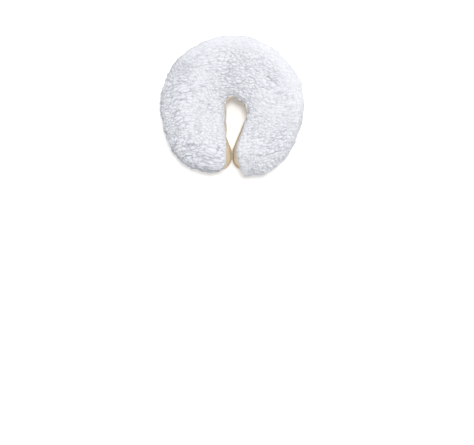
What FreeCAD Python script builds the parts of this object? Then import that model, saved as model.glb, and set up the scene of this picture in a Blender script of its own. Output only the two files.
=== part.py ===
"""A horseshoe face cradle cushion in a removable fleece cover, in millimetres.

Two layers of foam are sewn into a vinyl skin of a top panel, two side bands and a bottom panel,
with a welt of piping in each seam. Loop strips on the underside hold it to a cradle's hooked platform.
The cover is a fleece top panel and outer skirt, with a plain cotton band down the face opening
and one loop of elastic in its hem. It lifts straight up off the cushion.

+Z is up. +Y points from the arm ends to the crown. The origin is the middle of the whole object's
footprint, at the level of the loop strips' faces. The outer circle's centre lies on the Y axis.
"""

import FreeCAD, Part
import math
import os

import Sketcher

DOC = FreeCAD.newDocument("face_cradle_cushion")
XY_AXIS_Y = -2
ORIGIN = -1
START, END, CENTRE = 1, 2, 3
SWEEP_TOLERANCE = 0.01


# ---------------------------------------------------------------- driving dimensions

DIMENSIONS = [
    # alias, millimetres, what it is
    ("outer_radius", 146, "vinyl skin's outer circle"),
    ("tip_depth", 134, "outer circle's centre to the ends of the arms"),
    ("tip_outer_radius", 35, "outer corner of an arm's end"),
    ("tip_inner_radius", 21, "inner corner of an arm's end, and the bend at the slit's top"),
    ("tip_half_gap", 8, "half the slit between the bare arms"),
    ("slit_top", 101, "outer circle's centre down to where the slit starts to widen"),
    ("opening_radius", 45, "round upper end of the bare face opening"),
    ("opening_centre", 1, "that round end's centre, up from the outer circle's centre"),
    ("shoulder_radius", 18, "rounding of the skin's upper edge"),
    ("strip_thickness", 2.4, "loop strip, tape and pile"),
    ("strip_pile", 1.4, "pile of loops on a strip's tape"),
    ("strip_width", 38, "loop strip's tape"),
    ("strip_length", 112, "loop strip's tape"),
    ("strip_corner", 6, "corner radius of a loop strip's tape"),
    ("strip_ring_radius", 91, "outer circle's centre to a strip's middle"),
    ("strip_selvedge", 4, "tape's edge to its pile"),
    ("strip_margin", 2, "tape's edge to its line of thread"),
    ("vinyl_thickness", 1.2, "skin"),
    ("base_foam_height", 42, "firm lower layer of foam"),
    ("comfort_foam_height", 26, "soft upper layer of foam"),
    ("top_seam_height", 53, "floor to the seam between the bands and the top panel"),
    ("piping_radius", 1.5, "welt cord in its vinyl sleeve"),
    ("thread_radius", 0.3, "sewing thread"),
    ("thread_drop", 3.2, "seam to its line of thread"),
    ("touch_gap", 0.05, "between pieces that are sewn together"),
    ("cover_gap", 3.4, "skin to the inside of the cover, past the piping"),
    ("cover_crown_gap", 0.5, "crown of the skin to the inside of the cover"),
    ("fleece_thickness", 12.6, "knitted backing and pile"),
    ("cover_seam_height", 52, "floor to the seam between the skirt and the fleece top"),
    ("fleece_shoulder", 16, "rounding of the fleece's upper edge"),
    ("fleece_opening_radius", 24, "round upper end of the opening in the fleece"),
    ("fleece_half_gap", 12, "half the gap between the fleece's edges at the arm ends"),
    ("band_thickness", 1.6, "cotton band down the face opening"),
    ("hem_bottom", 4, "floor to the underside of the hem"),
    ("hem_top", 15, "floor to the top of the hem"),
    ("outer_hem_thickness", 5.6, "hem of the skirt"),
    ("inner_hem_thickness", 3.6, "hem of the cotton band"),
    ("hem_thread_drop", 1.5, "top of the hem to its line of thread"),
    ("elastic_inset", 1.4, "hem's inner face to the elastic"),
    ("elastic_thickness", 1.2, "flat elastic"),
    ("elastic_height", 8, "flat elastic"),
    ("elastic_clearance", 0.15, "round the elastic in its channel"),
    ("zone_half_width", 70, "half the width of the inner bands' share at the opening"),
    ("zone_top", 75, "outer circle's centre to the top of that share"),
    ("zone_waist", 88, "outer circle's centre down to where that share narrows"),
    ("zone_margin", 40, "what the share's boxes stand out past the solids they divide"),
]


class Size:
    """A length that keeps its formula in the sheet's cells beside its value."""

    def __init__(self, value, formula):
        self.value = value
        self.formula = formula

    def __add__(self, other):
        return Size(self.value + other.value, f"{self.formula} + {other.formula}")

    def __sub__(self, other):
        return Size(self.value - other.value, f"{self.formula} - ({other.formula})")

    def __mul__(self, factor):
        return Size(self.value * factor, f"({self.formula}) * {factor}")

    def __neg__(self):
        return self * -1


def make_sheet():
    """The spreadsheet of driving dimensions, and a Size for each of its aliases."""
    sheet = DOC.addObject("Spreadsheet::Sheet", "Sizes")
    found = {}
    for row, (alias, value, meaning) in enumerate(DIMENSIONS, start=1):
        sheet.set(f"A{row}", meaning)
        sheet.set(f"B{row}", str(value))
        sheet.setAlias(f"B{row}", alias)
        found[alias] = Size(value, f"Sizes.{alias}")
    DOC.recompute()
    return found


S = make_sheet()
ZERO = S["hem_top"] - S["hem_top"]
CENTRE_Y = (S["tip_depth"] - S["outer_radius"]) * 0.5
SKIN_BOTTOM = S["strip_thickness"]
FOAM_BOTTOM = SKIN_BOTTOM + S["vinyl_thickness"]
FOAM_SPLIT = FOAM_BOTTOM + S["base_foam_height"]
FOAM_TOP = FOAM_SPLIT + S["comfort_foam_height"]
SKIN_TOP = FOAM_TOP + S["vinyl_thickness"]
COVER_INSIDE_TOP = SKIN_TOP + S["cover_crown_gap"]
FLEECE_TOP = COVER_INSIDE_TOP + S["fleece_thickness"]
COVER_REACH = S["cover_gap"] + S["fleece_thickness"]
BAND_REACH = S["cover_gap"] + S["band_thickness"]


# ---------------------------------------------------------------- the horseshoe outline


class Outline:
    """A horseshoe of arcs and lines, each tangent to the next, about the outer circle's centre."""

    def __init__(self, outer, corner, tip, inner_corner, inner_x, opening):
        self.outer = outer
        self.corner = corner
        self.tip = tip
        self.inner_corner = inner_corner
        self.inner_x = inner_x
        self.opening = opening

    def grown(self, by):
        """The outline moved outwards by the same distance all round."""
        return Outline(
            self.outer + by,
            self.corner + by,
            self.tip + by,
            self.inner_corner + by,
            self.inner_x,
            self.opening - by,
        )


def skirt_outline(by):
    """Grown from the skin on its outer side, with the fleece's own edge round the opening."""
    return Outline(
        SKIN.outer + by,
        SKIN.corner + by,
        SKIN.tip + by,
        SKIN.inner_x - S["fleece_half_gap"],
        SKIN.inner_x,
        S["fleece_opening_radius"],
    )


SKIN = Outline(
    S["outer_radius"],
    S["tip_outer_radius"],
    S["tip_depth"],
    S["tip_inner_radius"],
    S["tip_half_gap"] + S["tip_inner_radius"],
    S["opening_radius"],
)
FOAM = SKIN.grown(-S["vinyl_thickness"])
COVER_INSIDE = SKIN.grown(S["cover_gap"])
FLEECE = skirt_outline(COVER_REACH)


def arc(x, y, radius, start, end):
    """Anticlockwise from start to end, in radians."""
    circle = Part.Circle(FreeCAD.Vector(x, y, 0), FreeCAD.Vector(0, 0, 1), radius)
    return Part.ArcOfCircle(circle, start, end)


def line(x0, y0, x1, y1):
    return Part.LineSegment(FreeCAD.Vector(x0, y0, 0), FreeCAD.Vector(x1, y1, 0))


def constrain(sketch, kind, *where, size):
    """A dimension of the sketch, bound to the sheet."""
    index = sketch.addConstraint(Sketcher.Constraint(kind, *where, size.value))
    sketch.setExpression(f"Constraints[{index}]", size.formula)


def draw_horseshoe(sketch, shape):
    """Draws one closed outline and binds its fourteen pieces to the sheet."""
    outer = shape.outer.value
    corner = shape.corner.value
    bottom = -shape.tip.value
    inner = shape.inner_corner.value
    inner_x = shape.inner_x.value
    opening = shape.opening.value
    opening_y = S["opening_centre"].value

    corner_y = bottom + corner
    corner_x = math.sqrt((outer - corner) ** 2 - corner_y**2)
    inner_y = bottom + inner
    bend_y = -S["slit_top"].value
    slit_x = inner_x - inner
    outer_turn = math.atan2(corner_y, corner_x)
    down_x, down_y = inner_x, bend_y - opening_y
    wall_turn = math.atan2(down_y, down_x) + math.acos(
        (opening + inner) / math.hypot(down_x, down_y)
    )
    across, along = math.cos(wall_turn), math.sin(wall_turn)
    wall_top = (opening * across, opening_y + opening * along)
    wall_foot = (inner_x - inner * across, bend_y - inner * along)
    pi = math.pi

    pieces = [
        arc(0, 0, outer, outer_turn, pi - outer_turn),
        arc(corner_x, corner_y, corner, -pi / 2, outer_turn),
        line(inner_x, bottom, corner_x, bottom),
        arc(inner_x, inner_y, inner, pi, 3 * pi / 2),
        line(slit_x, bend_y, slit_x, inner_y),
        arc(inner_x, bend_y, inner, wall_turn + pi, pi),
        line(*wall_top, *wall_foot),
        arc(0, opening_y, opening, wall_turn, pi - wall_turn),
        line(-wall_top[0], wall_top[1], -wall_foot[0], wall_foot[1]),
        arc(-inner_x, bend_y, inner, 0, -wall_turn),
        line(-slit_x, bend_y, -slit_x, inner_y),
        arc(-inner_x, inner_y, inner, -pi / 2, 0),
        line(-corner_x, bottom, -inner_x, bottom),
        arc(-corner_x, corner_y, corner, pi - outer_turn, 3 * pi / 2),
    ]
    made = [sketch.addGeometry(piece, False) for piece in pieces]
    rim, r_corner, r_end, r_inner, r_slit, r_bend, r_wall, top = made[:8]
    l_wall, l_bend, l_slit, l_inner, l_end, l_corner = made[8:]

    for a, a_point, b, b_point in (
        (rim, START, r_corner, END),
        (r_corner, START, r_end, END),
        (r_end, START, r_inner, END),
        (r_inner, START, r_slit, END),
        (r_slit, START, r_bend, END),
        (r_bend, START, r_wall, END),
        (r_wall, START, top, START),
        (top, END, l_wall, START),
        (l_wall, END, l_bend, END),
        (l_bend, START, l_slit, START),
        (l_slit, END, l_inner, END),
        (l_inner, START, l_end, END),
        (l_end, START, l_corner, END),
        (l_corner, START, rim, END),
    ):
        sketch.addConstraint(Sketcher.Constraint("Tangent", a, a_point, b, b_point))
    sketch.addConstraint(Sketcher.Constraint("Coincident", rim, CENTRE, ORIGIN, START))
    sketch.addConstraint(Sketcher.Constraint("PointOnObject", top, CENTRE, XY_AXIS_Y))
    constrain(sketch, "Radius", rim, size=shape.outer)
    constrain(sketch, "Radius", top, size=shape.opening)
    middle = (ORIGIN, START, top, CENTRE)
    constrain(sketch, "DistanceY", *middle, size=S["opening_centre"])
    for corner_arc, end, inner_arc, slit, bend, x in (
        (r_corner, r_end, r_inner, r_slit, r_bend, shape.inner_x),
        (l_corner, l_end, l_inner, l_slit, l_bend, -shape.inner_x),
    ):
        sketch.addConstraint(Sketcher.Constraint("Horizontal", end))
        sketch.addConstraint(Sketcher.Constraint("Vertical", slit))
        constrain(sketch, "Radius", corner_arc, size=shape.corner)
        constrain(sketch, "Radius", inner_arc, size=shape.inner_corner)
        constrain(sketch, "Radius", bend, size=shape.inner_corner)
        constrain(sketch, "DistanceY", ORIGIN, START, end, START, size=-shape.tip)
        constrain(sketch, "DistanceX", ORIGIN, START, inner_arc, CENTRE, size=x)
        constrain(sketch, "DistanceY", ORIGIN, START, bend, CENTRE, size=-S["slit_top"])


# ---------------------------------------------------------------- features


def new_body(label):
    """A body whose own origin is the outer circle's centre, at floor level."""
    body = DOC.addObject("PartDesign::Body", label)
    body.Label = label
    body.setExpression("Placement.Base.y", CENTRE_Y.formula)
    return body


def new_sketch(body, role, name, height=None):
    """A sketch on one of the body's origin planes, raised along that plane's normal."""
    sketch = body.newObject("Sketcher::SketchObject", f"{body.Name}_{name}")
    plane = next(f for f in body.Origin.OriginFeatures if f.Role == role)
    sketch.AttachmentSupport = [(plane, "")]
    sketch.MapMode = "FlatFace"
    if height is not None:
        sketch.setExpression("AttachmentOffset.Base.z", height.formula)
    return sketch


def slab(label, bottom, top, *shapes):
    """A flat slab between two heights: one outline, or the wall between two."""
    body = new_body(label)
    sketch = new_sketch(body, "XY_Plane", "outline", bottom)
    for shape in shapes:
        draw_horseshoe(sketch, shape)
    pad = body.newObject("PartDesign::Pad", f"{label}_pad")
    pad.Profile = sketch
    pad.setExpression("Length", (top - bottom).formula)
    sketch.Visibility = False
    DOC.recompute()
    return body


def round_top(body, radius):
    """Rounds the whole upper edge of a body."""
    base = body.Tip
    faces = base.Shape.Faces
    highest = max(range(len(faces)), key=lambda i: faces[i].BoundBox.ZMin)
    fillet = body.newObject("PartDesign::Fillet", f"{body.Name}_round")
    fillet.Base = (base, [f"Face{highest + 1}"])
    fillet.setExpression("Radius", radius.formula)
    DOC.recompute()
    return body


def cord_loop(body, draw, reach, height, radius):
    """A round cord or thread along a closed path that crosses the body's Y axis at reach."""
    path = new_sketch(body, "XY_Plane", "path", height)
    draw(path)
    section = new_sketch(body, "YZ_Plane", "section")
    centre = FreeCAD.Vector(reach.value, height.value, 0)
    circle = section.addGeometry(
        Part.Circle(centre, FreeCAD.Vector(0, 0, 1), radius.value), False
    )
    constrain(section, "Radius", circle, size=radius)
    constrain(section, "DistanceX", ORIGIN, START, circle, CENTRE, size=reach)
    constrain(section, "DistanceY", ORIGIN, START, circle, CENTRE, size=height)
    pipe = body.newObject("PartDesign::AdditivePipe", f"{body.Name}_pipe")
    pipe.Profile = section
    pipe.Spine = path
    DOC.recompute()
    swept = math.pi * radius.value**2 * path.Shape.Length
    if abs(pipe.Shape.Volume / swept - 1) > SWEEP_TOLERANCE:
        raise RuntimeError(f"{body.Label} isn't its section times its length")
    return body


def outline_cord(label, shape, height, radius):
    """A cord or thread laid along a horseshoe outline."""
    body = new_body(label)
    return cord_loop(
        body, lambda path: draw_horseshoe(path, shape), shape.outer, height, radius
    )


def boolean(kind, label, base, tool):
    """Part::Cut or Part::Common of two earlier objects."""
    made = DOC.addObject(kind, label)
    made.Label = label
    made.Base = base
    made.Tool = tool
    DOC.recompute()
    return made


def cut(label, base, tool):
    return boolean("Part::Cut", label, base, tool)


def common(label, base, tool):
    return boolean("Part::Common", label, base, tool)


def box(label, half_width, low_y, high_y):
    """A tall box about the Y axis, for dividing the bands."""
    made = DOC.addObject("Part::Box", label)
    margin = S["zone_margin"]
    for name, size in (
        ("Length", half_width * 2),
        ("Width", high_y - low_y),
        ("Height", FLEECE_TOP + margin * 2),
        ("Placement.Base.x", -half_width),
        ("Placement.Base.y", CENTRE_Y + low_y),
        ("Placement.Base.z", -margin),
    ):
        made.setExpression(name, size.formula)
    return made


# ---------------------------------------------------------------- the cushion


def make_foam():
    base = slab("foam_base", FOAM_BOTTOM, FOAM_SPLIT, FOAM)
    comfort = slab("comfort_foam", FOAM_SPLIT, FOAM_TOP, FOAM)
    round_top(comfort, S["shoulder_radius"] - S["vinyl_thickness"])
    return [base, comfort]


def make_inner_zone():
    """The share of each side wall that belongs to its inner band: slit, arm ends and opening."""
    below = -(S["tip_depth"] + S["zone_margin"])
    slit = box("slit_zone", SKIN.inner_x, below, -S["zone_waist"])
    opening = box(
        "opening_zone", S["zone_half_width"], -S["zone_waist"], S["zone_top"]
    )
    return boolean("Part::Fuse", "inner_zone", slit, opening)


def make_skin(comfort_foam, inner_zone):
    """Top panel, two side bands and bottom panel of vinyl, with their two welts."""
    dome = slab("skin_dome", S["top_seam_height"], SKIN_TOP, SKIN)
    round_top(dome, S["shoulder_radius"])
    top = cut("vinyl_top_panel", dome, comfort_foam)
    wall = slab("skin_wall", FOAM_BOTTOM, S["top_seam_height"], SKIN, FOAM)
    outer = cut("vinyl_outer_band", wall, inner_zone)
    inner = common("vinyl_inner_band", wall, inner_zone)
    bottom = slab("vinyl_bottom_panel", SKIN_BOTTOM, FOAM_BOTTOM, SKIN)
    return [top, outer, inner, bottom]


def make_seams():
    """Piping in the upper and lower seams, and the row of thread beside each."""
    cord, thread = S["piping_radius"], S["thread_radius"]
    welt = SKIN.grown(cord + S["touch_gap"])
    stitches = SKIN.grown(thread + S["touch_gap"])
    made = []
    for side, height, row in (
        ("top", S["top_seam_height"], S["top_seam_height"] - S["thread_drop"]),
        ("bottom", FOAM_BOTTOM, FOAM_BOTTOM + S["thread_drop"]),
    ):
        made.append(outline_cord(f"{side}_piping", welt, height, cord))
        made.append(outline_cord(f"{side}_seam_thread", stitches, row, thread))
    return made


# Each strip's place, its direction from the outer circle's centre, and its own turn, in degrees.
STRIPS = [("crown", 90, 0), ("right", -8, 82), ("left", 188, 98)]


def draw_rounded_rectangle(sketch, half_x, half_y, corner):
    """A rectangle about the sketch's origin with its four corners rounded."""
    x, y, r = half_x.value, half_y.value, corner.value
    pi = math.pi
    pieces = [
        line(-x + r, -y, x - r, -y),
        arc(x - r, -y + r, r, -pi / 2, 0),
        line(x, -y + r, x, y - r),
        arc(x - r, y - r, r, 0, pi / 2),
        line(x - r, y, -x + r, y),
        arc(-x + r, y - r, r, pi / 2, pi),
        line(-x, y - r, -x, -y + r),
        arc(-x + r, -y + r, r, pi, 3 * pi / 2),
    ]
    made = [sketch.addGeometry(piece, False) for piece in pieces]
    for here, after in zip(made, made[1:] + made[:1]):
        sketch.addConstraint(Sketcher.Constraint("Tangent", here, END, after, START))
    for rounding in made[1::2]:
        constrain(sketch, "Radius", rounding, size=corner)
    low, right, high, left = made[::2]
    for side, kind, distance, size in (
        (low, "Horizontal", "DistanceY", -half_y),
        (right, "Vertical", "DistanceX", half_x),
        (high, "Horizontal", "DistanceY", half_y),
        (left, "Vertical", "DistanceX", -half_x),
    ):
        sketch.addConstraint(Sketcher.Constraint(kind, side))
        constrain(sketch, distance, ORIGIN, START, side, START, size=size)


def strip_rectangle(inset):
    """A drawing of a strip's outline, moved in from the edge of its tape."""
    half_x = S["strip_length"] * 0.5 - inset
    half_y = S["strip_width"] * 0.5 - inset
    corner = S["strip_corner"] - inset
    return lambda sketch: draw_rounded_rectangle(sketch, half_x, half_y, corner)


def strip_body(label, direction, turn):
    """A body whose own origin is a strip's middle, with its X along the strip."""
    body = DOC.addObject("PartDesign::Body", label)
    body.Label = label
    angle = math.radians(direction)
    across = S["strip_ring_radius"] * round(math.cos(angle), 6)
    along = CENTRE_Y + S["strip_ring_radius"] * round(math.sin(angle), 6)
    body.Placement.Rotation = FreeCAD.Rotation(FreeCAD.Vector(0, 0, 1), turn)
    body.setExpression("Placement.Base.x", across.formula)
    body.setExpression("Placement.Base.y", along.formula)
    return body


def make_strip(place, direction, turn):
    """One loop strip, pile down, and the thread that sews its tape to the bottom panel."""
    strip = strip_body(f"{place}_loop_strip", direction, turn)
    pile, whole = S["strip_pile"], S["strip_thickness"]
    for layer, inset, bottom, top in (
        ("tape", ZERO, pile, whole),
        ("pile", S["strip_selvedge"], ZERO, pile),
    ):
        sketch = new_sketch(strip, "XY_Plane", layer, bottom)
        strip_rectangle(inset)(sketch)
        pad = strip.newObject("PartDesign::Pad", f"{place}_{layer}_pad")
        pad.Profile = sketch
        pad.setExpression("Length", (top - bottom).formula)
        DOC.recompute()

    margin, radius = S["strip_margin"], S["thread_radius"]
    thread = cord_loop(
        strip_body(f"{place}_strip_thread", direction, turn),
        strip_rectangle(margin),
        S["strip_width"] * 0.5 - margin,
        pile - radius - S["touch_gap"],
        radius,
    )
    return [strip, thread]


# ---------------------------------------------------------------- the cover


def make_cover_inside():
    """The space inside the cover, open below, which the cover's pieces are cut from."""
    inside = slab("cover_inside", -S["zone_margin"], COVER_INSIDE_TOP, COVER_INSIDE)
    return round_top(inside, S["shoulder_radius"] + S["cover_gap"])


def make_cover(inside, inner_zone):
    """Fleece top panel and outer skirt, and the cotton band down the face opening."""
    seam = S["cover_seam_height"]
    hem_top = S["hem_top"]
    dome = slab("fleece_dome", seam, FLEECE_TOP, FLEECE)
    round_top(dome, S["fleece_shoulder"])
    top = cut("fleece_top_panel", dome, inside)

    skirt_form = slab("skirt_form", hem_top, seam, FLEECE)
    skirt_wall = cut("skirt_wall", skirt_form, inside)
    skirt = cut("fleece_outer_skirt", skirt_wall, inner_zone)

    band_top = COVER_INSIDE_TOP + S["band_thickness"]
    band_form = slab("band_form", hem_top, band_top, SKIN.grown(BAND_REACH))
    round_top(band_form, S["shoulder_radius"] + BAND_REACH)
    band_shell = cut("band_shell", band_form, inside)
    band_share = common("band_share", band_shell, inner_zone)
    band = cut("cover_inner_band", band_share, top)
    return [top, skirt, band]


def make_hem(inside, inner_zone):
    """The casings round the cover's lower edge, their thread, and the elastic in them."""
    bottom, top = S["hem_bottom"], S["hem_top"]
    near = S["cover_gap"] + S["elastic_inset"]
    far = near + S["elastic_thickness"]
    low = (bottom + top - S["elastic_height"]) * 0.5
    high = low + S["elastic_height"]
    play = S["elastic_clearance"]
    elastic = slab("hem_elastic", low, high, SKIN.grown(far), SKIN.grown(near))
    channel = slab(
        "elastic_channel",
        low - play,
        high + play,
        SKIN.grown(far + play),
        SKIN.grown(near - play),
    )

    made = [elastic]
    row = top - S["hem_thread_drop"]
    thread = S["thread_radius"]
    for side, thickness, outline, divide in (
        ("outer", S["outer_hem_thickness"], skirt_outline, cut),
        ("inner", S["inner_hem_thickness"], SKIN.grown, common),
    ):
        face = S["cover_gap"] + thickness
        form = slab(f"{side}_hem_form", bottom, top, outline(face))
        wall = cut(f"{side}_hem_wall", form, inside)
        share = divide(f"{side}_hem_share", wall, inner_zone)
        made.append(cut(f"{side}_hem_casing", share, channel))
        stitches = outline(face + thread + S["touch_gap"])
        loop = outline_cord(f"{side}_hem_stitches", stitches, row, thread)
        made.append(divide(f"{side}_hem_thread", loop, inner_zone))
    return made


# ---------------------------------------------------------------- build, test and write


def check(subparts):
    """Stops the build if any object failed or any sub-part isn't a sound solid."""
    DOC.recompute()
    for item in DOC.Objects:
        bad = {"Invalid", "Error"} & set(item.State)
        if bad:
            raise RuntimeError(f"{item.Label} is {bad}")
    for item in subparts:
        shape = item.Shape
        if shape.isNull() or not shape.isValid() or not shape.Solids:
            raise RuntimeError(f"{item.Label} has no sound solid")
        print(f"{item.Label}: {len(shape.Solids)} solid, {shape.Volume:.0f} mm3")


def main():
    foam = make_foam()
    inner_zone = make_inner_zone()
    inside = make_cover_inside()
    subparts = [
        *foam,
        *make_skin(foam[1], inner_zone),
        *make_seams(),
        *(piece for strip in STRIPS for piece in make_strip(*strip)),
        *make_cover(inside, inner_zone),
        *make_hem(inside, inner_zone),
    ]
    check(subparts)
    os.makedirs("parts", exist_ok=True)
    for item in subparts:
        item.Shape.exportStep(f"parts/{item.Label}.step")


main()
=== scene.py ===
import math

import bmesh
import bpy
import numpy as np
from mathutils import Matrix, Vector


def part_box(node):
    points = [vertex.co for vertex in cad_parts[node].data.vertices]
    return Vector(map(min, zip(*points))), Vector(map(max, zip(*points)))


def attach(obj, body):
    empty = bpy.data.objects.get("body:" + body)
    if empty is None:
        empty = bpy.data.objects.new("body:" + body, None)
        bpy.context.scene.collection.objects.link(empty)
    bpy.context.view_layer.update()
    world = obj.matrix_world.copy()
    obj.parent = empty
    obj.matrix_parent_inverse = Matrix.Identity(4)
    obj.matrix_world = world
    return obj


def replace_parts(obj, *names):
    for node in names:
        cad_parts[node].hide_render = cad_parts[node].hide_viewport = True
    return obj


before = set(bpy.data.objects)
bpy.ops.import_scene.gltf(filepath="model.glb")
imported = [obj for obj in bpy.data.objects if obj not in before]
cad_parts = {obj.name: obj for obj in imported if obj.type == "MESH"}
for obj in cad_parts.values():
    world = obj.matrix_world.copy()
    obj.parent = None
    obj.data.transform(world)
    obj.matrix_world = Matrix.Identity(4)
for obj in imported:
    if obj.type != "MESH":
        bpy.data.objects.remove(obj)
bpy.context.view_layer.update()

# The looks of a face cradle cushion in its fleece cover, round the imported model.
# Shapes are worked out in millimetres in the model's own frame and written to Blender in metres.

MM = 0.001
CUSHION = "cushion"
COVER = "fleece_cover"


def box_mm(node):
    """Lowest and highest corner of a node of the model, in millimetres."""
    low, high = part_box(node)
    return np.array(low) / MM, np.array(high) / MM


def middle_height(node):
    low, high = box_mm(node)
    return (low[2] + high[2]) / 2


# -------- sizes, from the model

skin_low, skin_high = box_mm("vinyl_bottom_panel")
fleece_low, fleece_high = box_mm("fleece_top_panel")
hem_low, hem_high = box_mm("outer_hem_casing")
OUTER = (skin_high[0] - skin_low[0]) / 2
CENTRE_Y = skin_high[1] - OUTER
TIP = CENTRE_Y - skin_low[1]
REACH = (fleece_high[0] - fleece_low[0]) / 2 - OUTER
SKIN_BOTTOM = skin_low[2]
SKIN_TOP = box_mm("vinyl_top_panel")[1][2]
FLEECE_TOP = fleece_high[2]
TOP_SEAM = middle_height("top_piping")
BOTTOM_SEAM = middle_height("bottom_piping")
COVER_SEAM = fleece_low[2]
HEM_BOTTOM, HEM_TOP = hem_low[2], hem_high[2]
COVER_GAP = 3.4
COVER_LIFT = 0.9

# The horseshoe's own sizes, as the model's sketches have them.
CORNER = 35
INNER_CORNER = 21
INNER_X = 29
SLIT_TOP = 101
OPENING = 45
OPENING_CENTRE = 1
SHOULDER = 18
FLEECE_INNER_CORNER = 17
FLEECE_OPENING = 24


# -------- small maths


def smooth(start, end, value):
    """0 before start, 1 after end, with a smooth turn between; start may be above end."""
    t = np.clip((value - start) / (end - start), 0, 1)
    return t * t * (3 - 2 * t)


def mix(a, b, share):
    return a + (b - a) * share


def random_cells(cells, seed):
    """One repeatable number from 0 to 1 for each whole-number cell."""
    x, y, z = np.moveaxis(cells.astype(np.int64), -1, 0)
    n = x * 73856093 ^ y * 19349663 ^ z * 83492791 ^ seed * 2654435761
    n = (n ^ (n >> 13)) * 1274126177 & 0xFFFFFFFF
    n = (n ^ (n >> 15)) * 2246822519 & 0xFFFFFFFF
    return ((n ^ (n >> 16)) & 0xFFFFFF) / 0xFFFFFF


def noise(points, size, seed):
    """Smooth noise from -1 to 1, with features of about the given size."""
    p = points / size
    cell = np.floor(p)
    t = p - cell
    t = t * t * (3 - 2 * t)
    total = np.zeros(len(p))
    for corner in np.ndindex(2, 2, 2):
        weight = np.prod(np.where(np.array(corner), t, 1 - t), axis=1)
        total += weight * random_cells(cell + corner, seed)
    return total * 2 - 1


def noise_vector(points, size, seed):
    return np.stack([noise(points, size, seed + k) for k in range(3)], axis=1)


def cell_pattern(points, size, seed):
    """Cellular noise: distance to the nearest and next nearest cell middle, the way to the nearest,
    its number, and how level the border between the two is, from 0 for upright to 1."""
    points = points / size
    base = np.floor(points)
    nearest = np.full(len(points), 9.0)
    second = np.full(len(points), 9.0)
    away = np.zeros_like(points)
    other = np.zeros_like(points)
    number = np.zeros(len(points))
    for step in np.ndindex(3, 3, 3):
        cell = base + step - 1
        jitter = np.stack([random_cells(cell, seed + k) for k in range(3)], axis=1)
        offset = points - cell - 0.5 - 0.85 * (jitter - 0.5)
        distance = np.linalg.norm(offset, axis=1)
        closer = distance < nearest
        between = ~closer & (distance < second)
        other[closer] = away[closer]
        other[between] = offset[between]
        second = np.where(closer, nearest, np.minimum(second, distance))
        nearest = np.where(closer, distance, nearest)
        away[closer] = offset[closer]
        number = np.where(closer, jitter[:, 0], number)
    apart = (away - other) * size
    level = np.abs(apart[:, 1]) / np.maximum(np.linalg.norm(apart, axis=1), 1e-6)
    return nearest, second, away, number, level


# -------- the horseshoe outline


class Outline:
    """The horseshoe as arcs and lines, each tangent to the next, with the material on the right."""

    def __init__(self, outer, corner, tip, inner, opening):
        corner_y = corner - tip
        corner_x = math.sqrt((outer - corner) ** 2 - corner_y**2)
        turn = math.atan2(corner_y, corner_x)
        drop = -SLIT_TOP - OPENING_CENTRE
        wall = math.atan2(drop, INNER_X)
        wall += math.acos((opening + inner) / math.hypot(INNER_X, drop))
        inner_y = inner - tip
        slit_x = INNER_X - inner
        wall_x, wall_y = math.cos(wall), math.sin(wall)
        top = (opening * wall_x, OPENING_CENTRE + opening * wall_y)
        foot = (INNER_X - inner * wall_x, -SLIT_TOP - inner * wall_y)
        half = math.pi / 2
        right = [
            ("arc", corner_x, corner_y, corner, turn, -half),
            ("line", corner_x, -tip, INNER_X, -tip),
            ("arc", INNER_X, inner_y, inner, -half, -2 * half),
            ("line", slit_x, inner_y, slit_x, -SLIT_TOP),
            ("arc", INNER_X, -SLIT_TOP, inner, -2 * half, wall - 2 * half),
            ("line", *foot, *top),
        ]
        left = [mirrored(piece) for piece in reversed(right)]
        self.pieces = [("arc", 0, 0, outer, half, turn)]
        self.pieces += right
        self.pieces.append(("arc", 0, OPENING_CENTRE, opening, wall, 2 * half - wall))
        self.pieces += left
        self.pieces.append(("arc", 0, 0, outer, 2 * half - turn, half))

    def distance(self, x, y):
        """Signed distance in the plane, negative in the material."""
        y = y - CENTRE_Y
        best = np.full(np.shape(x), 1e6)
        for kind, *sizes in self.pieces:
            if kind == "line":
                x0, y0, x1, y1 = sizes
                length = math.hypot(x1 - x0, y1 - y0)
                tx, ty = (x1 - x0) / length, (y1 - y0) / length
                along = (x - x0) * tx + (y - y0) * ty
                found = (y - y0) * tx - (x - x0) * ty
                within = (along >= -0.01) & (along <= length + 0.01)
            else:
                cx, cy, radius, start, end = sizes
                clockwise = end < start
                found = np.hypot(x - cx, y - cy) - radius
                found = found if clockwise else -found
                low, high = min(start, end), max(start, end)
                turn = np.mod(np.arctan2(y - cy, x - cx) - low + 0.001, math.tau)
                within = turn <= high - low + 0.002
            closer = within & (np.abs(found) < np.abs(best))
            best = np.where(closer, found, best)
        return best

    def run(self, numbers, spacing):
        """Evenly spaced points along some of the pieces, with the direction out of the material."""
        points, outward = [], []
        for number in numbers:
            kind, *sizes = self.pieces[number]
            last = number == numbers[-1]
            if kind == "line":
                x0, y0, x1, y1 = sizes
                length = math.hypot(x1 - x0, y1 - y0)
                count = max(2, round(length / spacing))
                t = np.arange(count + last) / count
                points.append(np.stack([mix(x0, x1, t), mix(y0, y1, t)], axis=1))
                out = np.array([-(y1 - y0), x1 - x0]) / length
                outward.append(np.tile(out, (count + last, 1)))
            else:
                cx, cy, radius, start, end = sizes
                count = max(2, round(abs(end - start) * radius / spacing))
                angle = mix(start, end, np.arange(count + last) / count)
                way = np.stack([np.cos(angle), np.sin(angle)], axis=1)
                points.append(way * radius + (cx, cy))
                outward.append(way if end < start else -way)
        points = np.concatenate(points) + (0, CENTRE_Y)
        return points, np.concatenate(outward)


def mirrored(piece):
    """The same stretch on the other arm, travelled the other way."""
    if piece[0] == "line":
        _, x0, y0, x1, y1 = piece
        return ("line", -x1, y1, -x0, y0)
    _, cx, cy, radius, start, end = piece
    return ("arc", -cx, cy, radius, math.pi - end, math.pi - start)


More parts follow.
